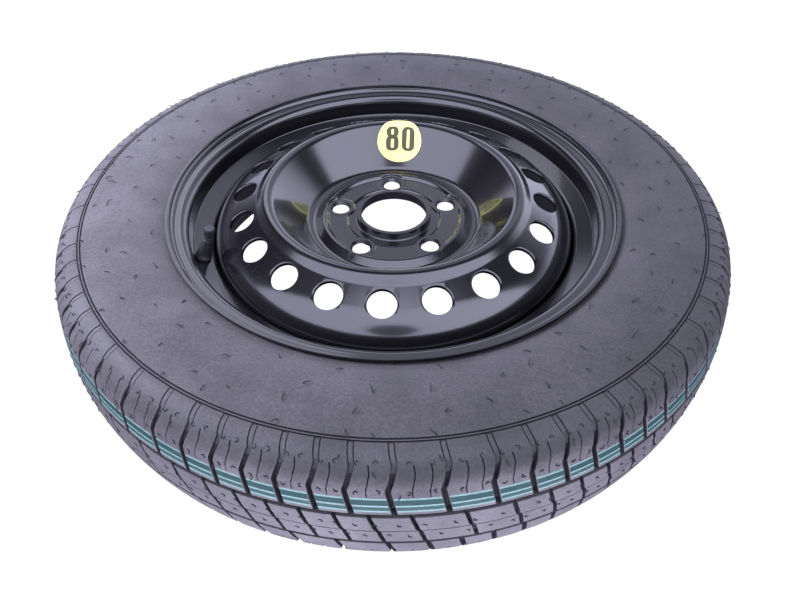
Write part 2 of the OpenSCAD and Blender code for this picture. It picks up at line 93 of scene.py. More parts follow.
def add_mottle(tree, coord, shade, mottle):
    """The shade with broad soft patches, darker and lighter by a share."""
    gain = tree.nodes.new("ShaderNodeMapRange")
    limits = (*SPOT_EDGES, 1 - mottle, 1 + mottle)
    for socket, value in zip(("From Min", "From Max", "To Min", "To Max"), limits):
        gain.inputs[socket].default_value = value
    tree.links.new(add_noise(tree, coord, BROAD_GRAIN, 5), gain.inputs["Value"])
    scale = tree.nodes.new("ShaderNodeVectorMath")
    scale.operation = "SCALE"
    tree.links.new(shade, scale.inputs[0])
    tree.links.new(gain.outputs["Result"], scale.inputs["Scale"])
    return scale.outputs[0]


def finish(name, color, rough, metallic=0.0, coat=0.0, ior=1.5, spots=0.1, bump=0.0, grain=900.0, mottle=0.0):
    """A material whose colour and relief follow a fine grain."""
    mat = bpy.data.materials.new(name)
    mat.use_nodes = True
    tree = mat.node_tree
    shader = tree.nodes["Principled BSDF"]
    shader.inputs["Base Color"].default_value = (*color, 1)
    shader.inputs["Roughness"].default_value = rough
    shader.inputs["Metallic"].default_value = metallic
    shader.inputs["Coat Weight"].default_value = coat
    shader.inputs["Coat Roughness"].default_value = COAT_ROUGH
    shader.inputs["IOR"].default_value = ior
    coord = tree.nodes.new("ShaderNodeTexCoord")
    noise = add_noise(tree, coord, grain, 4)
    shade = add_spots(tree, noise, color, spots)
    if mottle:
        shade = add_mottle(tree, coord, shade, mottle)
    tree.links.new(shade, shader.inputs["Base Color"])
    if bump:
        node = tree.nodes.new("ShaderNodeBump")
        node.inputs["Strength"].default_value = bump
        node.inputs["Distance"].default_value = BUMP_DEPTH
        tree.links.new(noise, node.inputs["Height"])
        tree.links.new(node.outputs["Normal"], shader.inputs["Normal"])
    return mat


RUBBER = finish("tyre_rubber", (0.038, 0.036, 0.038), 0.52, spots=0.25, bump=0.3, grain=520, mottle=0.16)
# Painted shade: the tyre's rubber made much darker, put in grooves, sipes, cuts and marks where shade falls.
GROOVE_SHADE = finish("groove_shade_rubber", (0.010, 0.0095, 0.012), 0.6, spots=0.2, grain=420)
STRIPE_LINE = finish("stripe_line", (0.064, 0.100, 0.094), 0.6, spots=0.15, grain=420)
STRIPE_DARK = finish("stripe_dark", (0.009, 0.021, 0.021), 0.62, spots=0.2, grain=420)
STRIPE_PALE = finish("stripe_pale", (0.013, 0.026, 0.026), 0.62, spots=0.2, grain=420)
PAINT = finish("black_paint", (0.0026, 0.0023, 0.0031), 0.22, coat=1.0, ior=1.6, spots=0.1,
               bump=0.02, grain=700)
FILM = finish("label_film", (0.56, 0.55, 0.15), 0.4, spots=0.03)
INK = finish("label_ink", (0.028, 0.028, 0.012), 0.4, spots=0.15, grain=700)
VALVE_RUBBER = finish("valve_rubber", (0.016, 0.016, 0.017), 0.42, spots=0.2, bump=0.15, grain=800)
CAP = finish("cap_plastic", (0.019, 0.018, 0.022), 0.33, spots=0.2, bump=0.12, grain=900)
BRASS = finish("brass", (0.72, 0.55, 0.27), 0.3, metallic=1, spots=0.1, bump=0.1, grain=1100)
STEEL = finish("spring_steel", (0.6, 0.6, 0.6), 0.3, metallic=1, spots=0.08, bump=0.08, grain=1300)
RED_SEAL = finish("red_seal", (0.35, 0.05, 0.04), 0.5, spots=0.12, bump=0.1, grain=900)


# Outlines with rounded corners, as in the model. A path is a list of (radius, height, corner radius).
CORNER_SHARE = 0.98


def unit(v):
    length = math.hypot(*v)
    return (v[0] / length, v[1] / length)


def way(path, i):
    return unit((path[i + 1][0] - path[i][0], path[i + 1][1] - path[i][1]))


def turn_at(path, i):
    a, b = way(path, i - 1), way(path, i)
    return math.atan2(a[0] * b[1] - a[1] * b[0], a[0] * b[0] + a[1] * b[1])


def room(path, i):
    need = 0
    for k in (i, i + 1):
        if 0 < k < len(path) - 1:
            need += path[k][2] * math.tan(abs(turn_at(path, k)) / 2)
    side = math.hypot(path[i + 1][0] - path[i][0], path[i + 1][1] - path[i][1])
    return min(1, CORNER_SHARE * side / need) if need else 1


def follow(path, step=4.0):
    """Samples of a path as (point, direction to its left)."""
    last = len(path) - 1
    start, end = way(path, 0), way(path, last - 1)
    out = [(path[0][:2], (-start[1], start[0]))]
    for i in range(1, last):
        turn = turn_at(path, i)
        r = path[i][2] * min(room(path, i - 1), room(path, i))
        side = math.copysign(1, turn)
        d = way(path, i - 1)
        back = r * math.tan(abs(turn) / 2)
        cx = path[i][0] - d[0] * back - d[1] * side * r
        cy = path[i][1] - d[1] * back + d[0] * side * r
        n = max(1, math.ceil(abs(math.degrees(turn)) / step))
        for k in range(n + 1):
            a = turn * k / n
            n0 = (-d[1] * math.cos(a) - d[0] * math.sin(a), -d[1] * math.sin(a) + d[0] * math.cos(a))
            out.append(((cx - n0[0] * side * r, cy - n0[1] * side * r), n0))
    out.append((path[last][:2], (-end[1], end[0])))
    return out


def beside(samples, d):
    return [(p[0] + d * n[0], p[1] + d * n[1]) for p, n in samples]


def arc(cx, cy, r, a1, a2, n):
    out = []
    for i in range(n + 1):
        a = math.radians(a1 + (a2 - a1) * i / n)
        out.append((cx + r * math.cos(a), cy + r * math.sin(a)))
    return out


def filled(points, longest):
    """The same line with points added so that no piece of it is longer than longest."""
    out = [points[0]]
    for a, b in zip(points, points[1:]):
        n = max(1, math.ceil(math.hypot(b[0] - a[0], b[1] - a[1]) / longest))
        out += [(a[0] + (b[0] - a[0]) * k / n, a[1] + (b[1] - a[1]) * k / n) for k in range(1, n + 1)]
    return out


class Skin:
    """A surface made of rings round an axis, each a list of (azimuth in degrees, radius, height) in mm."""

    def __init__(self):
        self.verts, self.faces, self.slots = [], [], []

    def ring(self, points):
        first = len(self.verts)
        for az, r, z in points:
            a = math.radians(az)
            self.verts.append((r * math.cos(a) * MM, r * math.sin(a) * MM, z * MM))
        return [(p[0], first + i) for i, p in enumerate(points)]

    def face(self, corners, slot):
        self.faces.append(corners)
        self.slots.append(slot)

    def join(self, a, b, slot=0, slots=None):
        if len(a) == len(b):
            for i in range(len(a)):
                k = (i + 1) % len(a)
                self.face((a[i][1], a[k][1], b[k][1], b[i][1]), slots[i] if slots else slot)
            return
        start = a[0][0]
        turned = [((az - start + 180) % 360 - 180, i) for az, i in b]
        low = min(range(len(b)), key=lambda k: abs(turned[k][0]))
        bs = [(((b[(low + k) % len(b)][0]) - b[low][0]) % 360 + turned[low][0], b[(low + k) % len(b)][1])
              for k in range(len(b))]
        bs.append((bs[0][0] + 360, bs[0][1]))
        ar = [((az - start) % 360, i) for az, i in a] + [(360, a[0][1])]
        i = j = 0
        while i < len(ar) - 1 or j < len(bs) - 1:
            if j == len(bs) - 1 or (i < len(ar) - 1 and ar[i + 1][0] <= bs[j + 1][0]):
                self.face((ar[i][1], ar[i + 1][1], bs[j][1]), slot)
                i += 1
            else:
                self.face((ar[i][1], bs[j + 1][1], bs[j][1]), slot)
                j += 1

    def build(self, name, materials, angle=35, matrix=None):
        mesh = bpy.data.meshes.new(name)
        mesh.from_pydata(self.verts, [], self.faces)
        for mat in materials:
            mesh.materials.append(mat)
        mesh.polygons.foreach_set("material_index", self.slots)
        if matrix:
            mesh.transform(matrix)
        bm = bmesh.new()
        bm.from_mesh(mesh)
        bmesh.ops.recalc_face_normals(bm, faces=bm.faces)
        bm.to_mesh(mesh)
        bm.free()
        return place(name, mesh, angle)


def smooth_shade(mesh, angle):
    mesh.polygons.foreach_set("use_smooth", [True] * len(mesh.polygons))
    mesh.set_sharp_from_angle(angle=math.radians(angle))


def place(name, mesh, angle=35):
    smooth_shade(mesh, angle)
    obj = bpy.data.objects.new(name, mesh)
    scene.collection.objects.link(obj)
    return obj


def circle(r, z, cols, first=0.0):
    return [(first + 360 * k / cols, r, z) for k in range(cols)]


def lathe(name, outline, cols, material, angle=35, matrix=None, closed=True):
    """A closed outline of (radius, height) turned round Z."""
    skin = Skin()
    rings = []
    for r, z in outline:
        if r < 1e-6:
            skin.verts.append((0, 0, z * MM))
            rings.append(len(skin.verts) - 1)
        else:
            rings.append(skin.ring(circle(r, z, cols)))
    pairs = list(zip(rings, rings[1:])) + ([(rings[-1], rings[0])] if closed else [])
    for a, b in pairs:
        if isinstance(a, int) and isinstance(b, int):
            continue
        if isinstance(a, int) or isinstance(b, int):
            pole, row = (a, b) if isinstance(a, int) else (b, a)
            for i in range(cols):
                skin.face((pole, row[i][1], row[(i + 1) % cols][1]), 0)
        else:
            skin.join(a, b)
    return skin.build(name, [material], angle, matrix)


def cut(obj, tool, angle):
    """Takes the tool away from the object, removes the tool and smooths the rest up to the angle."""
    mod = obj.modifiers.new("cut", "BOOLEAN")
    mod.operation = "DIFFERENCE"
    mod.solver = "EXACT"
    mod.object = tool
    depsgraph = bpy.context.evaluated_depsgraph_get()
    mesh = bpy.data.meshes.new_from_object(obj.evaluated_get(depsgraph))
    obj.modifiers.clear()
    old, obj.data = obj.data, mesh
    bpy.data.meshes.remove(old)
    bpy.data.objects.remove(tool, do_unlink=True)
    smooth_shade(mesh, angle)


# Sizes shared with the model, in mm
MID_Z = 66.0
TYRE_W = 132.0
TYRE_R = 324.7
SEAT_R, LIP_R, FLANGE_IN, FLANGE_R = 202.8, 219.0, 50.8, 9.5
LIP_H = FLANGE_IN + FLANGE_R
RIM_T, WELL_R = 2.5, 183.15
SEAT_TAN = math.tan(math.radians(5))


def seat_at(h):
    return SEAT_R - (FLANGE_IN - h) * SEAT_TAN


SHELF_H = 30.1
SHELF_R = seat_at(SHELF_H)
SHELF_TAN = math.tan(math.radians(22))
WELL_TOP_H = SHELF_H - (SHELF_R - WELL_R) * SHELF_TAN
BACK_END = 18 + (seat_at(30) - WELL_R) * math.tan(math.radians(35))
RIM_PATH = [
    (LIP_R, LIP_H, 0), (LIP_R, FLANGE_IN, FLANGE_R), (SEAT_R, FLANGE_IN, 6.5), (SHELF_R, SHELF_H, 4),
    (WELL_R, WELL_TOP_H, 4), (WELL_R, -18, 8), (seat_at(BACK_END), -BACK_END, 6), (SEAT_R, -FLANGE_IN, 6.5),
    (LIP_R, -FLANGE_IN, FLANGE_R), (LIP_R, -LIP_H, 0),
]


# Tyre
BEAD_GAP = 0.1
SHOULDER_C = (292.988, 39.0)
SHOULDER_R = 26.0
SHOULDER_END = 16.66
TREAD_ROUND_R = 162
CROWN_C = TYRE_R - TREAD_ROUND_R
GROOVE_H, GROOVE_W, GROOVE_D = 19.5, 3.6, 5.0
CROSS_W = 4.0
STRIPES = (37.0, 30.3, 25.1)
STRIPE_W = 1.5
EDGE_CUT = 1.1
SHALLOW, DEEP = 0.5, 2.4
SHOULDER_AT = 322
GROOVE_LIP, GROOVE_FOOT = 0.45, 0.4
SIPE_ACROSS = ((-0.5, 0), (-0.22, 1), (0.22, 1), (0.5, 0))
SIPE_D, SIPE_LOW, SIPE_HIGH = 2.0, 38.6, 59.9
GROOVE_MARGIN, SIPE_MARGIN = 2.4, 0.9
COLUMN_STEP = 6
LONG_PITCH = 30
SHOULDER_ANGLES = (87.5, 84, 80, 75, 70, 65, 60, 56, 53.9, 52, 48, 44, 39.4, 34, 28, 22, SHOULDER_END)
BAND_HEIGHTS = (
    44, 41.5, 38.5, 38.1, 37.75, 36.25, 33.7, 31.05, 29.55, 27.7, 25.85, 24.35, 22.3, 21.65, 21.3)
EDGE_DROP, LIP_D = 0.35, 0.4
MARK_D, OPEN_D, OPEN_GAIN, OPEN_FROM = 0.3, 0.6, 4.0, 0.42
# Slot of the painted shade in grooves, sipes, cuts and marks.
GROOVE_SHADE_SLOT = 4


def tread_at(h):
    return CROWN_C + math.sqrt(TREAD_ROUND_R ** 2 - h ** 2)


def on_line(line, h):
    """Sideways place of a zigzag line of (height, sideways) at a height."""
    for (h1, u1), (h2, u2) in zip(line, line[1:]):
        if h1 >= h >= h2:
            return u1 + (u2 - u1) * (h1 - h) / (h1 - h2)
    return line[0][1] if h > line[0][0] else line[-1][1]


GROOVE_LINE = [(66, 0), (59.5, 2.8), (44, -1.8), (19.5, 3.2)]
SIPE_LINE = [(60, 0.9), (55.5, 1.7), (43.5, -0.6), (38.5, 0.2)]
PITCH_ROW = (24, 24, 24, 29, 37, 34, 27, 25, 24)
PITCHES = PITCH_ROW * 8
UNIT_AZ = 360 / sum(PITCHES)
FIRST_AZ = 270 - UNIT_AZ * sum(PITCH_ROW[:4])


def sideways(u, r):
    return math.degrees(u / r)


def shoulder_columns():
    """Columns of the shoulder: groove edges as ("groove", azimuth, offset, place), sipes, and plain ones."""
    edge = CROSS_W / 2
    across = (-edge - GROOVE_LIP, -edge, -edge + GROOVE_FOOT, edge - GROOVE_FOOT, edge, edge + GROOVE_LIP)
    cols = []
    az = FIRST_AZ
    for pitch in PITCHES:
        cols += [("groove", az, off, k) for k, off in enumerate(across)]
        length = pitch * UNIT_AZ
        mm = math.radians(length) * SHOULDER_AT
        sipes = (0.45,) if pitch < LONG_PITCH else (0.40, 0.72)
        stops = [0] + [s * mm for s in sipes] + [mm]
        for k, (a, b) in enumerate(zip(stops, stops[1:])):
            last = k == len(stops) - 2
            lo = a + (GROOVE_MARGIN if k == 0 else SIPE_MARGIN)
            hi = b - (GROOVE_MARGIN if last else SIPE_MARGIN)
            steps = max(2, round((hi - lo) / COLUMN_STEP))
            for i in range(1, steps):
                cols.append(("plain", az + sideways(lo + (hi - lo) * i / steps, SHOULDER_AT), 0, 0))
            if not last:
                middle = az + sideways(b, SHOULDER_AT)
                cols += [("sipe", middle, off, depth) for off, depth in SIPE_ACROSS]
        az += length
    return cols


COLUMNS = shoulder_columns()


def shoulder_rows():
    """Rows of the shoulder as (radius, height, normal radius, normal height, groove depth)."""
    rows = []
    for a in SHOULDER_ANGLES:
        c, s = math.cos(math.radians(a)), math.sin(math.radians(a))
        t = (90 - a) / (90 - SHOULDER_END)
        depth = MARK_D if t < OPEN_FROM else OPEN_D + OPEN_GAIN * (t - OPEN_FROM) / (1 - OPEN_FROM)
        rows.append((SHOULDER_C[0] + SHOULDER_R * c, SHOULDER_C[1] + SHOULDER_R * s, c, s, depth))
    for h in BAND_HEIGHTS:
        s = h / TREAD_ROUND_R
        drop = EDGE_DROP if h == BAND_HEIGHTS[-1] else 0
        depth = OPEN_D + OPEN_GAIN + (GROOVE_D - OPEN_D - OPEN_GAIN) * (46 - h) / 25
        rows.append((tread_at(h) - drop, h, math.sqrt(1 - s * s), s, depth))
    return rows


def shoulder_ring(row):
    r, h, nr, nh, depth = row
    line, cut_line = on_line(GROOVE_LINE, h), on_line(SIPE_LINE, h)
    in_sipe = SIPE_LOW < h < SIPE_HIGH
    edge_cut = EDGE_CUT if depth < SHALLOW else LIP_D
    out = []
    for kind, az, off, d in COLUMNS:
        u, down = line, 0
        if kind == "groove":
            down = (0, edge_cut, depth, depth, edge_cut, 0)[d]
            u += off
        elif kind == "sipe":
            u = (cut_line if 38 <= h <= 60.5 else line) + off
            down = d * SIPE_D if in_sipe else 0
        out.append((az + sideways(u, r), r - nr * down, h - nh * down))
    return out


def groove_slots(slot, row):
    """The colour of each face across the columns: the stripe paint on the blocks, and painted shade in the
    grooves and sipes.
    """
    height, depth = row[1], row[4]
    # Shallow grooves get painted shade in their two V-cuts only, deeper ones on their walls, and the deepest
    # on their floor too.
    if depth < SHALLOW:
        across = (GROOVE_SHADE_SLOT, GROOVE_SHADE_SLOT, 0, GROOVE_SHADE_SLOT, GROOVE_SHADE_SLOT)
    else:
        across = (0, GROOVE_SHADE_SLOT, GROOVE_SHADE_SLOT if depth > DEEP else 0, GROOVE_SHADE_SLOT, 0)
    in_sipe = SIPE_LOW < height < SIPE_HIGH
    out = []
    for (kind, _, _, d), (kind2, _, _, d2) in zip(COLUMNS, COLUMNS[1:] + COLUMNS[:1]):
        if kind == kind2 == "groove" and d < d2:
            out.append(across[d])
        elif kind == kind2 == "sipe" and d == d2 == 1 and in_sipe:
            out.append(GROOVE_SHADE_SLOT)
        else:
            out.append(slot)
    return out


def flip(points):
    return [(-az, r, -h) for az, r, h in reversed(points)]


def lift(points):
    return [(az, r, h + MID_Z) for az, r, h in points]


TOE_H = 36.3
FOOT_R, FOOT_RISE = LIP_R + 2, 5.7
BULGE_R, BULGE_DROP = 265, 9.5
RING_MARKS = (291.2, 293.6)
MARK_ACROSS = ((-0.75, 0.02), (-0.35, -1.0), (0.35, -1.0), (0.75, 0))


def upper_profile():
    """The sidewall from the bead's toe to the shoulder, and the inside from the crown to the toe."""
    rim_line = follow(RIM_PATH, 8)
    bead = [p for p in rim_line if FLANGE_IN - 8.5 < p[0][1] < LIP_H - FLANGE_R * 0.45 and p[0][0] > 190]
    toe = (seat_at(TOE_H) + BEAD_GAP, TOE_H)
    outside = [toe] + list(reversed(beside(bead, BEAD_GAP)))
    radius = ((BULGE_R - FOOT_R) ** 2 + BULGE_DROP ** 2) / (2 * BULGE_DROP)
    centre_h = TYRE_W / 2 - radius
    tilt = math.degrees(math.atan2(FLANGE_IN + FOOT_RISE - centre_h, FOOT_R - BULGE_R))
    outside += arc(BULGE_R, centre_h, radius, tilt, 90, 12)
    shoulder_h = SHOULDER_C[1] + SHOULDER_R
    outside += [(289.6, 65.25)]
    for r in RING_MARKS:
        outside += [(r + across, shoulder_h + rise) for across, rise in MARK_ACROSS]
    inside = follow([
        (*toe, 0), (SEAT_R + 9, 35.3, 7), (FOOT_R + 16, 55, 16), (BULGE_R, 59, 40),
        (TYRE_R - 16, 58, 24), (TYRE_R - 16, 0, 0)], 14)
    return outside, [p for p, _ in inside][1:]


CENTRE_LINE = [(GROOVE_H, 0), (1.5, 5), (-0.5, 6.8), (-GROOVE_H, 11)]
CENTRE_END = 17.7
CENTRE_HEIGHTS = (
    CENTRE_END, 17.35, 12, 6.5, 1.5, 0.6, 0.25, -0.25, -0.6, -6.5, -12, -17.35, -CENTRE_END)
HAIRLINE_H, HAIRLINE_D = 0.3, 0.3
FULL_D = 9


def centre_rows():
    """The centre rib as (ring, slot) pairs, with painted shade in the cuts and on the hairline. The deepest
    cuts end at the ring grooves' floor.
    """
    cols = []
    edge = CROSS_W * 0.4
    across = ((-edge - 0.3, 0), (-edge, 0.3), (-edge + 0.25, FULL_D),
              (edge - 0.25, FULL_D), (edge, 0.3), (edge + 0.3, 0))
    az = FIRST_AZ
    half = 180 / len(PITCHES)
    for pitch in PITCHES:
        length = pitch * UNIT_AZ
        cols += [(az + half, off, depth) for off, depth in across]
        cols += [(az + half + length * k / 4, 0, 0) for k in (1, 2, 3)]
        az += length
    cuts = [GROOVE_SHADE_SLOT if d and d2 else 0 for (_, _, d), (_, _, d2) in zip(cols, cols[1:] + cols[:1])]
    rings = []
    for h in CENTRE_HEIGHTS:
        r = tread_at(h) - (EDGE_DROP if abs(h) == CENTRE_END else 0)
        dip = HAIRLINE_D if abs(h) < HAIRLINE_H else 0
        u = on_line(CENTRE_LINE, h)
        ring = [(a + sideways(u + off, r), r - (min(d, r - TYRE_R + GROOVE_D + 0.0001) if d else dip), h)
                for a, off, d in cols]
        # The hairline's ring is painted shade all round.
        rings.append((ring, GROOVE_SHADE_SLOT if h == 0.25 else cuts))
    return rings


def stripe_slot(h):
    """Painted lines and the bands between them."""
    if any(abs(h - s) < STRIPE_W / 2 for s in STRIPES):
        return 1
    if STRIPES[1] < h < STRIPES[0]:
        return 2
    if STRIPES[2] < h < STRIPES[1]:
        return 3
    return 0


def make_tyre():
    skin = Skin()
    outside, inside = upper_profile()
    rows = shoulder_rows()
    side = [circle(r, h, 360) for r, h in outside]
    # The V-grooves of the ring marks are painted shade.
    marks = {len(outside) - k for k in (8, 7, 6, 4, 3, 2)}
    seq = [(ring, GROOVE_SHADE_SLOT if k in marks else 0) for k, ring in enumerate(side)]
    for row, below in zip(rows, rows[1:] + [None]):
        slot = stripe_slot((row[1] + below[1]) / 2) if below else 0
        seq.append((shoulder_ring(row), groove_slots(slot, row)))
    last = rows[-1]
    floor_r = tread_at(GROOVE_H) - GROOVE_D

    def groove_floor(ring, h):
        return [(az, floor_r, h) for az, _, _ in ring]

    centre = centre_rows()
    last_ring = shoulder_ring(last)
    wall_h = GROOVE_H + GROOVE_W * 0.3
    # The floors of the ring grooves between the shoulders and the centre rib are painted shade.
    seq.append((groove_floor(last_ring, wall_h), GROOVE_SHADE_SLOT))
    seq.append((groove_floor(centre[0][0], 2 * GROOVE_H - wall_h), GROOVE_SHADE_SLOT))
    seq += centre
    last_centre = [(-az, r, h) for az, r, h in reversed(centre[-1][0])]
    seq.append((flip(groove_floor(last_centre, 2 * GROOVE_H - wall_h)), GROOVE_SHADE_SLOT))
    seq.append((flip(groove_floor(last_ring, wall_h)), GROOVE_SHADE_SLOT))
    for row in reversed(rows):
        turned = list(reversed(groove_slots(0, row)))
        seq.append((flip(shoulder_ring(row)), turned[1:] + turned[:1]))
    seq += [(flip(ring), 0) for ring in reversed(side)]
    seq += [(circle(r, -h, 180), 0) for r, h in inside]
    seq += [(circle(r, h, 180), 0) for r, h in reversed(inside[:-1])]
    rings = [skin.ring(lift(ring)) for ring, _ in seq]
    for k in range(len(seq)):
        nxt = (k + 1) % len(seq)
        # Each pair of rings gets the stripe paint or the painted shade of its slot.
        paint_and_shade = seq[k][1]
        if isinstance(paint_and_shade, int):
            skin.join(rings[k], rings[nxt], paint_and_shade)
        else:
            skin.join(rings[k], rings[nxt], 0, paint_and_shade)
    obj = skin.build("tyre_skin", [RUBBER, STRIPE_LINE, STRIPE_DARK, STRIPE_PALE, GROOVE_SHADE], 40)
    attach(obj, "wheel")
    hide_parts("tyre")


make_tyre()


# Marks that the vents of the mould leave on the tyre: small crescents on the blocks and thin hairs. Both are
# drawn in the darker rubber, which is painted shade.
def on_tyre(az, r, h, nr, nh):
    """A frame on the tyre's surface: X round the tyre, Y up across it, Z out of it."""
    a = math.radians(az)
    out = Vector((math.cos(a), math.sin(a), 0))
    normal = (out * nr + Vector((0, 0, nh))).normalized()
    round_way = Vector((-math.sin(a), math.cos(a), 0))
    frame_at = Matrix((round_way, normal.cross(round_way), normal)).transposed().to_4x4()
    return Matrix.Translation((r * math.cos(a) * MM, r * math.sin(a) * MM, (h + MID_Z) * MM)) @ frame_at


def shoulder_frame(az, h):
    """A frame on the shoulder or the tread at a height above the tyre's middle."""
    s = (h - SHOULDER_C[1]) / SHOULDER_R
    if s > math.sin(math.radians(SHOULDER_END)):
        c = math.sqrt(1 - s * s)
        return on_tyre(az, SHOULDER_C[0] + SHOULDER_R * c, h, c, s)
    s = h / TREAD_ROUND_R
    return on_tyre(az, tread_at(h), h, math.sqrt(1 - s ** 2), s)


def side_height(r, outside):
    for (r1, h1), (r2, h2) in zip(outside, outside[1:]):
        if r1 <= r <= r2:
            return h1 + (h2 - h1) * (r - r1) / (r2 - r1)
    return outside[-1][1]


def tube(mesh, points, radii, sides):
    """A closed tube through the points."""
    verts, faces = mesh
    first = len(verts)
    beyond = points[1:] + [2 * points[-1] - points[-2]]
    for a, b, radius in zip(points, beyond, radii):
        d = (b - a).normalized()
        x = d.orthogonal().normalized()
        y = d.cross(x)
        for k in range(sides):
            t = 2 * math.pi * k / sides
            verts.append(tuple(a + (x * math.cos(t) + y * math.sin(t)) * radius))
    for i in range(len(points) - 1):
        for k in range(sides):
            j = (k + 1) % sides
            base = first + i * sides
            faces.append((base + k, base + j, base + sides + j, base + sides + k))
    faces.append(tuple(first + k for k in reversed(range(sides))))
    faces.append(tuple(len(verts) - sides + k for k in range(sides)))


def mesh_piece(name, mesh, material, body="wheel"):
    data = bpy.data.meshes.new(name)
    data.from_pydata(mesh[0], [], mesh[1])
    data.materials.append(material)
    obj = place(name, data)
    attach(obj, body)


CRESCENT_R = 1.5
CRESCENT_THICK = (0.3, 0.45, 0.45, 0.45, 0.45, 0.45, 0.3)
TUBE_SIDES = 5
HAIR_RINGS = ((232, 26), (252, 34), (272, 38), (288, 40))
HAIR_THICK = (0.5, 0.42, 0.4, 0.3)
HAIR_TOP = 2.2
SHOULDER_HAIRS = 70
SHOULDER_HAIR_HEIGHTS = (62.6, 57, 40.5)
SHOULDER_HAIR_THICK = (0.45, 0.4, 0.38, 0.28)


def crescent(mesh, frame_at, turn):
    points = []
    for k in range(len(CRESCENT_THICK)):
        a = math.radians(turn + 35 * k)
        points.append(frame_at @ (Vector((CRESCENT_R * math.cos(a), CRESCENT_R * math.sin(a), 0.1)) * MM))
    tube(mesh, points, [t * MM for t in CRESCENT_THICK], TUBE_SIDES)


def make_vent_marks():
    marks = ([], [])
    az = FIRST_AZ
    for pitch in PITCHES:
        length = pitch * UNIT_AZ
        sipe = 0.45 if pitch < LONG_PITCH else 0.56
        for share, h in ((sipe - 0.22, 60.5), (sipe + 0.2, 60.8), (sipe - 0.24, 42), (sipe + 0.26, 43.5)):
            crescent(marks, shoulder_frame(az + length * share, h), random.uniform(0, 360))
        for share, h in ((0.62, 7.5), (0.95, -6), (1.2, 8.5), (1.45, -7.5)):
            crescent(marks, shoulder_frame(az + length * share, h), random.choice((-60, 120)))
        az += length
    # The crescents are real marks, and their dark colour is painted shade.
    mesh_piece("vent_marks", marks, GROOVE_SHADE)


def side_hair(hairs, az, r, outside):
    """A hair of the sidewall, bent over in any direction."""
    where = on_tyre(az, r, side_height(r, outside) - 0.1, 0, 1)
    lean, size = random.uniform(0, 2 * math.pi), random.uniform(3.5, 7.5)
    points = []
    for t, rise in ((0, 0), (0.2, 0.25), (0.6, 0.36), (1, 0.3)):
        reach = size * t
        up = min(HAIR_TOP, size * rise)
        points.append(where @ (Vector((math.cos(lean) * reach, math.sin(lean) * reach, up)) * MM))
    tube(hairs, points, [t * MM for t in HAIR_THICK], TUBE_SIDES)


def shoulder_hair(hairs, az):
    """A hair of the shoulder, bent down the tread."""
    where = shoulder_frame(az, random.choice(SHOULDER_HAIR_HEIGHTS))
    lean, size = random.uniform(-0.8, 0.8), random.uniform(3, 6)
    points = []
    for t, rise in ((0, 0), (0.25, 0.9), (0.6, 1.2), (1, 0.9)):
        reach = size * t
        points.append(where @ (Vector((math.sin(lean) * reach, -math.cos(lean) * reach, rise)) * MM))
    tube(hairs, points, [t * MM for t in SHOULDER_HAIR_THICK], TUBE_SIDES)


def make_vent_hairs():
    hairs = ([], [])
    outside, _ = upper_profile()
    for base_r, count in HAIR_RINGS:
        for k in range(count):
            az = 360 * (k + random.uniform(-0.35, 0.35)) / count
            side_hair(hairs, az, base_r + random.uniform(-3, 2), outside)
    for k in range(SHOULDER_HAIRS):
        shoulder_hair(hairs, 360 * (k + random.uniform(-0.4, 0.4)) / SHOULDER_HAIRS)
    # The hairs are drawn in the same painted shade.
    mesh_piece("vent_hairs", hairs, GROOVE_SHADE)


make_vent_marks()
make_vent_hairs()


# Rim with its two humps and its valve hole
VALVE_AZ = 200
VALVE_R = (SHELF_R + WELL_R) / 2 + 0.6
VALVE_H = SHELF_H - (SHELF_R - VALVE_R) * SHELF_TAN
VALVE_AT = (Matrix.Rotation(math.radians(VALVE_AZ), 4, "Z")
            @ Matrix.Translation((VALVE_R * MM, 0, (MID_Z + VALVE_H) * MM))
            @ Matrix.Rotation(math.radians(-22), 4, "Y"))


HUMP_H, HUMP_HALF, HUMP_RISE = 33.3, 2.4, 0.6
HUMP_STEPS = (2.4, 1.6, 0.8, 0, -0.8, -1.6, -2.4)
VALVE_HOLE_R = 5.75


def with_humps(outer):
    """The rim's outer line with a hump on each bead seat."""
    out = []
    for a, b in zip(outer, outer[1:]):
        out.append(a)
        for mid in (HUMP_H, -HUMP_H):
            if (a[1] - mid) * (b[1] - mid) < 0 and min(a[0], b[0]) > 195:
                for step in HUMP_STEPS:
                    h = mid + step
                    t = (h - mid) / HUMP_HALF
                    out.append((seat_at(abs(h)) + HUMP_RISE * (1 - t * t), h))
    return out + [outer[-1]]


def make_rim():
    line = follow(RIM_PATH, 5)
    outline = with_humps(beside(line, 0)) + list(reversed(beside(line, -RIM_T)))
    obj = lathe("rim_skin", [(r, h + MID_Z) for r, h in outline], 360, PAINT)
    hole = [(0, -5), (VALVE_HOLE_R, -5), (VALVE_HOLE_R, 8), (0, 8)]
    tool = lathe("rim_tool", hole, 48, PAINT, matrix=VALVE_AT, closed=False)
    cut(obj, tool, 35)
    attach(obj, "wheel")
    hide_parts("wheel_rim")


make_rim()


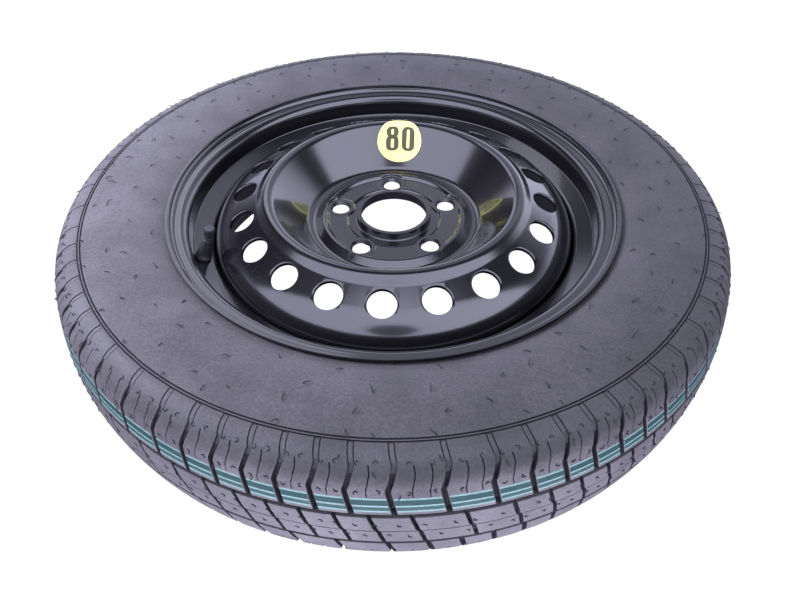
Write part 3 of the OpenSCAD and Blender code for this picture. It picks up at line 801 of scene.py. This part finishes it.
# Disc. Heights are above the mounting face.
MOUNT_Z = 87.5
DISC_T = 3.5
PITCH_R = 57.15
PAD_H = 5.5
BOLTS = [92.5 + 72 * k for k in range(5)]
VENTS = [212.6 + 18 * k for k in range(20)]
VENT_R, VENT_AT, VENT_H = 13.0, 150.4, 29.3
VENT_TILT = 22
TIGHT = DISC_T + 0.1
DISC_PATH = [
    (36.55, 12, 0), (36.55, DISC_T, 2), (PITCH_R - 11.15, DISC_T, 3), (PITCH_R - 8.65, PAD_H, TIGHT),
    (PITCH_R + 8.35, PAD_H, 2.5), (PITCH_R + 11.85, 8.5, TIGHT), (PITCH_R + 14.35, 8.5, TIGHT + 0.5),
    (PITCH_R + 23.15, DISC_T, 6), (86.43, DISC_T, 9.5), (123.01, 45.58, 9), (134.992, 35.525, 8),
    (163, 24.209, 50), (180.6, 7.213, 34), (180.6, -24.787, 0),
]
LAND_R, LAND_H, LAND_FLARE = 13.5, 5.3, 2.0


def smooth(t):
    t = max(0.0, min(1.0, t))
    return t * t * (3 - 2 * t)


def land(r, az, z):
    """Height of the pressed face near a bolt, whose land is flat."""
    for bolt in BOLTS:
        a = math.radians(az - bolt)
        d = math.hypot(r * math.cos(a) - PITCH_R, r * math.sin(a))
        if d < LAND_R + LAND_FLARE:
            t = smooth((d - LAND_R) / LAND_FLARE)
            return LAND_H + (z - LAND_H) * t if z > LAND_H or d < LAND_R + 0.01 or r < PITCH_R else z
    return z


BOLT_R, SEAT_TOP_R, LAND_EDGE_R = 7.9, 10.5, 11.2
SEAT_DROP = (SEAT_TOP_R - BOLT_R) / math.tan(math.radians(30))
BOLT_PLUG = [(BOLT_R, -3), (BOLT_R, LAND_H - SEAT_DROP), (SEAT_TOP_R, LAND_H), (LAND_EDGE_R, LAND_H + 0.5),
             (LAND_EDGE_R, LAND_H + 4)]
VENT_PLUG = [(VENT_R, -12), (VENT_R, -1.35), (13.12, -0.85), (13.4, -0.38), (13.85, -0.05), (14.6, 0.16),
             (14.6, 6)]


def disc_ring(skin, r, z, cols):
    return skin.ring(circle(r, z + MOUNT_Z, cols))


def make_disc():
    face = beside(follow(DISC_PATH, 5), 0)
    start = next(i for i, p in enumerate(face) if p[0] > 40)
    split_end = max(i for i, p in enumerate(face) if p[0] < 76)
    skin = Skin()
    rings = [disc_ring(skin, r, z, 360) for r, z in face[:start - 1]]
    for r, z in filled(face[start - 1:split_end + 1], 0.8):
        rings.append(skin.ring([(a, r, land(r, a, z) + MOUNT_Z) for a, r, z in circle(r, z, 720)]))
    rings += [disc_ring(skin, r, z, 360) for r, z in face[split_end + 1:]]
    rings += [disc_ring(skin, r, z, 360) for r, z in reversed(beside(follow(DISC_PATH, 9), -DISC_T))]
    for k in range(len(rings)):
        skin.join(rings[k], rings[(k + 1) % len(rings)])
    obj = skin.build("disc_skin", [PAINT], 40)
    tool = Skin()
    for bolt in BOLTS:
        frame_at = (Matrix.Rotation(math.radians(bolt), 4, "Z")
                    @ Matrix.Translation((PITCH_R * MM, 0, MOUNT_Z * MM)))
        add_plug(tool, frame_at, BOLT_PLUG, 64)
    for vent in VENTS:
        frame_at = (Matrix.Rotation(math.radians(vent), 4, "Z")
                    @ Matrix.Translation((VENT_AT * MM, 0, (MOUNT_Z + VENT_H) * MM))
                    @ Matrix.Rotation(math.radians(VENT_TILT), 4, "Y"))
        add_plug(tool, frame_at, VENT_PLUG, 72, VENT_AT)
    cut(obj, tool.build("disc_tool", [PAINT]), 40)
    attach(obj, "wheel")
    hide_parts("wheel_disc")


def add_plug(skin, at, outline, cols, saddle=0.0):
    """A closed plug round a local axis. With a saddle radius, its rings follow the cone that they cut."""
    rings = []
    for r, z in outline:
        first = len(skin.verts)
        for k in range(cols):
            a = 2 * math.pi * k / cols
            x, y = r * math.cos(a), r * math.sin(a)
            drop = 0
            if saddle and -3 < z < 1:
                drop = y * y / (2 * (saddle + x)) * math.cos(math.radians(VENT_TILT))
            skin.verts.append(tuple(at @ Vector((x * MM, y * MM, (z - drop) * MM))))
        rings.append([(360 * k / cols, first + k) for k in range(cols)])
    for a, b in zip(rings, rings[1:]):
        skin.join(a, b)
    skin.face(tuple(reversed([i for _, i in rings[0]])), 0)
    skin.face(tuple(i for _, i in rings[-1]), 0)


make_disc()


# Speed label, which follows the bowl's wall
LABEL_AZ, LABEL_R = 87, 108.4
LABEL_LINE = [(p, n) for p, n in follow(DISC_PATH, 2) if 86 < p[0] < 134 and p[1] > 3]


def lengths_along(samples):
    out = [0]
    for (p, _), (q, _) in zip(samples, samples[1:]):
        out.append(out[-1] + math.hypot(q[0] - p[0], q[1] - p[1]))
    return out


def length_at(samples, lengths, r):
    for i, ((p, _), (q, _)) in enumerate(zip(samples, samples[1:])):
        if p[0] <= r <= q[0]:
            return lengths[i] + (r - p[0]) / (q[0] - p[0]) * (lengths[i + 1] - lengths[i])
    return lengths[-1]


LABEL_LENGTHS = lengths_along(LABEL_LINE)
LABEL_MID = length_at(LABEL_LINE, LABEL_LENGTHS, LABEL_R)


def label_place(a, b, lift_mm):
    """A point of the label: a to the right and b up the wall from its middle, in mm."""
    s = LABEL_MID + b
    i = min(max(bisect.bisect(LABEL_LENGTHS, s) - 1, 0), len(LABEL_LINE) - 2)
    t = (s - LABEL_LENGTHS[i]) / (LABEL_LENGTHS[i + 1] - LABEL_LENGTHS[i])
    (p, n), (q, m) = LABEL_LINE[i], LABEL_LINE[i + 1]
    r = p[0] + (q[0] - p[0]) * t + lift_mm * (n[0] + (m[0] - n[0]) * t)
    z = p[1] + (q[1] - p[1]) * t + lift_mm * (n[1] + (m[1] - n[1]) * t) + MOUNT_Z
    az = math.radians(LABEL_AZ) - a / r
    return (r * math.cos(az) * MM, r * math.sin(az) * MM, z * MM)


def rounded(x1, x2, y1, y2, r, n=10):
    out = []
    corners = ((x2 - r, y2 - r, 0), (x1 + r, y2 - r, 90), (x1 + r, y1 + r, 180), (x2 - r, y1 + r, 270))
    for cx, cy, a0 in corners:
        for k in range(n + 1):
            a = math.radians(a0 + 90 * k / n)
            out.append((cx + r * math.cos(a), cy + r * math.sin(a)))
    return out


FILM_R = 24.5
FILM_RINGS, FILM_COLS = 14, 96
FILM_BACK, FILM_FRONT, FILM_EDGE = 0.12, 0.4, 0.1
# Each stroke has an outer and an inner outline (left, right, low, high, corner) and a height over the wall
EIGHT_TOP = ((-14.6, -1.0, 2.6, 14.5, 5.2), (-9.2, -6.4, 5.6, 11.6, 1.35), 0.46)
EIGHT_LOW = ((-14.9, -0.8, -12.1, 5.0, 5.6), (-9.4, -6.0, -8.9, 1.0, 1.6), 0.44)
ZERO = ((2.6, 16.8, -12.1, 14.5, 6.0), (8.0, 11.2, -8.9, 11.4, 1.5), 0.45)
STROKE_STEPS = 5


def row_faces(first, cols):
    """Faces between a closed row of points and the next one."""
    faces = []
    for k in range(cols):
        j = (k + 1) % cols
        faces.append((first + k, first + j, first + cols + j, first + cols + k))
    return faces


def make_film():
    verts, faces = [], []
    for lift_mm in (FILM_BACK, FILM_FRONT):
        first = len(verts)
        for i in range(FILM_RINGS + 1):
            rho = FILM_R * i / FILM_RINGS
            edge = FILM_EDGE if lift_mm == FILM_FRONT and i == FILM_RINGS else 0
            for k in range(FILM_COLS):
                a = 2 * math.pi * k / FILM_COLS
                verts.append(label_place(rho * math.cos(a), rho * math.sin(a), lift_mm - edge))
        for i in range(FILM_RINGS):
            faces += row_faces(first + i * FILM_COLS, FILM_COLS)
    bottom, top = FILM_RINGS * FILM_COLS, (2 * FILM_RINGS + 1) * FILM_COLS
    for k in range(FILM_COLS):
        j = (k + 1) % FILM_COLS
        faces.append((bottom + k, bottom + j, top + j, top + k))
    mesh = bpy.data.meshes.new("label_skin")
    mesh.from_pydata(verts, [], faces)
    bm = bmesh.new()
    bm.from_mesh(mesh)
    bmesh.ops.remove_doubles(bm, verts=bm.verts, dist=1e-7)
    bmesh.ops.recalc_face_normals(bm, faces=bm.faces)
    bm.to_mesh(mesh)
    bm.free()
    mesh.materials.append(FILM)
    label = place("label_skin", mesh)
    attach(label, "wheel")
    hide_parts("speed_sticker")


def make_number():
    verts, faces = [], []
    for outer, inner, height in (EIGHT_TOP, EIGHT_LOW, ZERO):
        a, b = rounded(*outer), rounded(*inner)
        n, first = len(a), len(verts)
        for k in range(STROKE_STEPS + 1):
            t = k / STROKE_STEPS
            for p, q in zip(a, b):
                verts.append(label_place(p[0] + (q[0] - p[0]) * t, p[1] + (q[1] - p[1]) * t, height))
        for k in range(STROKE_STEPS):
            faces += row_faces(first + k * n, n)
    mesh = bpy.data.meshes.new("label_number")
    mesh.from_pydata(verts, [], faces)
    mesh.materials.append(INK)
    number = place("label_number", mesh)
    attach(number, "wheel")


make_film()
make_number()


# Valve body and cap, with outlines of (radius, height) round the valve's axis
BODY_OUTLINE = [
    (1.6, -6), (7.5, -6), (9, -5), (9.5, -3.8), (9.5, -0.9), (8.7, -0.1), (5.7, -0.1), (5.7, 2.6), (7.0, 2.6),
    (7.45, 2.85), (7.6, 3.3), (7.6, 3.9), (7.1, 4.3), (7.1, 4.7), (7.55, 5.1), (7.55, 5.7), (7.2, 6.1),
    (6.7, 7.6), (6.35, 9.5), (6.1, 12), (5.95, 15), (5.85, 18), (5.75, 20.5), (5.5, 22.6), (5.3, 23.9),
    (4.9, 24.5), (3.25, 24.5), (3.25, -1.6), (3.85, -1.6), (3.85, -3), (1.6, -3),
]
CAP_COLS = 96
CAP_BORE_R, CAP_FOOT, CAP_ROOF, CAP_TOP = 3.9, 24.8, 35.6, 36.8
RIB_D, RIB_LOW, RIB_HIGH = 0.3, 26.4, 34
CAP_OUTLINE = [
    (CAP_BORE_R, CAP_FOOT), (4.85, CAP_FOOT), (5.0, 25.0), (5.0, 26.2), (4.95, 26.5), (4.95, 33.8),
    (4.95, 34.4), (4.75, 35.2), (4.2, 36.2), (3.6, 36.7), (2.8, CAP_TOP),
]


def make_valve_body():
    obj = lathe("valve_body_skin", BODY_OUTLINE, 64, VALVE_RUBBER, 40, VALVE_AT)
    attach(obj, "wheel")
    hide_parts("valve_body")


def cap_ring(skin, r, z):
    """A ring of the cap, with a flute after every second column where the cap is ribbed."""
    deep = RIB_D if RIB_LOW < z < RIB_HIGH else 0
    return skin.ring([(360 * k / CAP_COLS, r - (deep if k % 4 < 2 else 0), z) for k in range(CAP_COLS)])


def make_valve_cap():
    skin = Skin()
    rings = [cap_ring(skin, r, z) for r, z in CAP_OUTLINE]
    skin.verts.append((0, 0, CAP_TOP * MM))
    top = len(skin.verts) - 1
    inside = skin.ring(circle(CAP_BORE_R, CAP_ROOF, CAP_COLS))
    skin.verts.append((0, 0, CAP_ROOF * MM))
    roof = len(skin.verts) - 1
    for a, b in zip(rings, rings[1:]):
        skin.join(a, b)
    skin.join(inside, rings[0])
    for k in range(CAP_COLS):
        j = (k + 1) % CAP_COLS
        skin.face((rings[-1][k][1], rings[-1][j][1], top), 0)
        skin.face((inside[k][1], inside[j][1], roof), 0)
    cap = skin.build("valve_cap_skin", [CAP], 30, VALVE_AT)
    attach(cap, "cap")
    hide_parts("valve_cap")


make_valve_body()
make_valve_cap()


# Finishes of the model's own pieces
NODE_FINISHES = {
    "weld_seams": PAINT, "valve_stem": BRASS, "valve_core_plug": BRASS, "valve_core_barrel": BRASS,
    "valve_core_gasket": RED_SEAL, "valve_core_pin": BRASS, "valve_core_seal": VALVE_RUBBER,
    "valve_core_spring": STEEL, "valve_cap_seal": RED_SEAL,
}


def dress_nodes():
    for name, material in NODE_FINISHES.items():
        slots = nodes[name].data.materials
        if not len(slots):
            slots.append(material)
        for i in range(len(slots)):
            slots[i] = material


dress_nodes()


# Light table and studio light. Edges are parts of a direction of length one.
FRONT_LIGHT, BACK_LIGHT, DARK_LIGHT = 3.35, 1.4, 0.12
FRONT_SLANT = 0.35
SHADE = 0.05
LIGHT_TINT = (0.80, 0.80, 1.0)
WORLD_TINT = (0.75, 0.765, 1.0)
FRONT_EDGE = (0.07, -0.05)
BAND_EDGE = (0.30, 0.50)
LOW_EDGE = (0.34, 0.45)
BELOW_EDGE = (-0.22, -0.02)
# Round patches as (elevation, azimuth, inner and outer half angle, value inside, value outside)
CAMERA_PATCH = (43.5, -91, 9, 15, 0.12, 1.0)
BACK_PATCH = (24, 146, 12, 30, 0.12, 1.0)
LOW_GLOW = (14, 45, 14, 32, 0.7, 0.0)
HIGH_GLOW = (42, 78, 10, 22, 0.8, 0.0)
TABLE_HALF, TABLE_Z, TABLE_GLOW = 6, -0.0005, 1.1


def direction(el, az):
    e, a = math.radians(el), math.radians(az)
    return (math.cos(e) * math.cos(a), math.cos(e) * math.sin(a), math.sin(e))


def panel(name, place_at, target, size, radiance, seen=False):
    """A soft lamp. Unless it is seen as a reflection, it only fills in diffuse light."""
    light = bpy.data.lights.new(name, "AREA")
    light.shape = "RECTANGLE"
    light.size, light.size_y = size
    light.energy = radiance * size[0] * size[1] * math.pi
    light.color = LIGHT_TINT
    obj = bpy.data.objects.new(name, light)
    obj.location = place_at
    obj.rotation_euler = (Vector(target) - Vector(place_at)).to_track_quat("-Z", "Y").to_euler()
    obj.visible_glossy = seen
    obj.visible_camera = False
    scene.collection.objects.link(obj)


def make_world():
    """A white tent that is open at the back: its radiance depends on the direction only."""
    world = bpy.data.worlds.new("studio")
    world.use_nodes = True
    tree = world.node_tree
    links = tree.links
    coord = tree.nodes.new("ShaderNodeTexCoord")
    axis = tree.nodes.new("ShaderNodeVectorMath")
    axis.operation = "NORMALIZE"
    links.new(coord.outputs["Generated"], axis.inputs[0])
    parts = tree.nodes.new("ShaderNodeSeparateXYZ")
    links.new(axis.outputs[0], parts.inputs[0])
    x, y, z = parts.outputs

    def ramp(source, edges, low=0.0, high=1.0):
        node = tree.nodes.new("ShaderNodeMapRange")
        node.interpolation_type = "SMOOTHSTEP"
        limits = (*edges, low, high)
        for name, value in zip(("From Min", "From Max", "To Min", "To Max"), limits):
            node.inputs[name].default_value = value
        links.new(source, node.inputs["Value"])
        return node.outputs["Result"]

    def math_node(operation, a, b):
        node = tree.nodes.new("ShaderNodeMath")
        node.operation = operation
        for socket, value in zip(node.inputs, (a, b)):
            if isinstance(value, (int, float)):
                socket.default_value = value
            else:
                links.new(value, socket)
        return node.outputs[0]

    def patch(el, az, inner, outer, inside, outside):
        """A value inside a cone of directions and another outside it, with the two half angles in degrees."""
        node = tree.nodes.new("ShaderNodeVectorMath")
        node.operation = "DOT_PRODUCT"
        links.new(axis.outputs[0], node.inputs[0])
        node.inputs[1].default_value = direction(el, az)
        edges = (math.cos(math.radians(outer)), math.cos(math.radians(inner)))
        return ramp(node.outputs["Value"], edges, outside, inside)

    front = math_node("MULTIPLY_ADD", x, FRONT_SLANT)
    front.node.inputs[2].default_value = FRONT_LIGHT
    front = math_node("MULTIPLY", front, ramp(y, FRONT_EDGE))
    front = math_node("MULTIPLY", front, patch(*CAMERA_PATCH))
    front = math_node("MULTIPLY", front, ramp(z, LOW_EDGE, SHADE, 1.0))
    back = ramp(y, FRONT_EDGE, 1.0, 0.0)
    band = math_node("MULTIPLY", back, ramp(z, BAND_EDGE, BACK_LIGHT, DARK_LIGHT))
    band = math_node("MULTIPLY", band, patch(*BACK_PATCH))
    glow = math_node("ADD", patch(*LOW_GLOW), patch(*HIGH_GLOW))
    total = math_node("ADD", math_node("ADD", front, band), math_node("MULTIPLY", back, glow))
    total = math_node("MULTIPLY", total, ramp(z, BELOW_EDGE, SHADE, 1.0))
    background = tree.nodes["Background"]
    background.inputs["Color"].default_value = (*WORLD_TINT, 1)
    links.new(total, background.inputs["Strength"])
    scene.world = world
    scene.view_settings.view_transform = "Standard"
    scene.view_settings.look = "None"


def make_table():
    """A sheet that glows white to the camera and throws no light or shadow on the wheel."""
    s, z = TABLE_HALF, TABLE_Z
    mesh = bpy.data.meshes.new("table")
    mesh.from_pydata([(-s, -s, z), (s, -s, z), (s, s, z), (-s, s, z)], [], [(0, 1, 2, 3)])
    mat = bpy.data.materials.new("table_light")
    mat.use_nodes = True
    tree = mat.node_tree
    tree.nodes.clear()
    out = tree.nodes.new("ShaderNodeOutputMaterial")
    glow = tree.nodes.new("ShaderNodeEmission")
    glow.inputs["Color"].default_value = (1, 1, 1, 1)
    glow.inputs["Strength"].default_value = TABLE_GLOW
    tree.links.new(glow.outputs["Emission"], out.inputs["Surface"])
    mesh.materials.append(mat)
    table = bpy.data.objects.new("table", mesh)
    table.visible_diffuse = False
    table.visible_glossy = False
    table.visible_shadow = False
    scene.collection.objects.link(table)


make_world()
panel("left", (-0.62, 0.02, 0.58), (-0.3, 0, 0.1), (0.3, 0.5), 70.0)
panel("low", (0, -1.0, -0.62), (0, -0.3, 0.06), (2.4, 0.5), 62.0)
panel("back", (-0.42, 0.78, 0.92), (-0.1, 0, 0.1), (0.5, 0.65), 1.9, seen=True)
make_table()
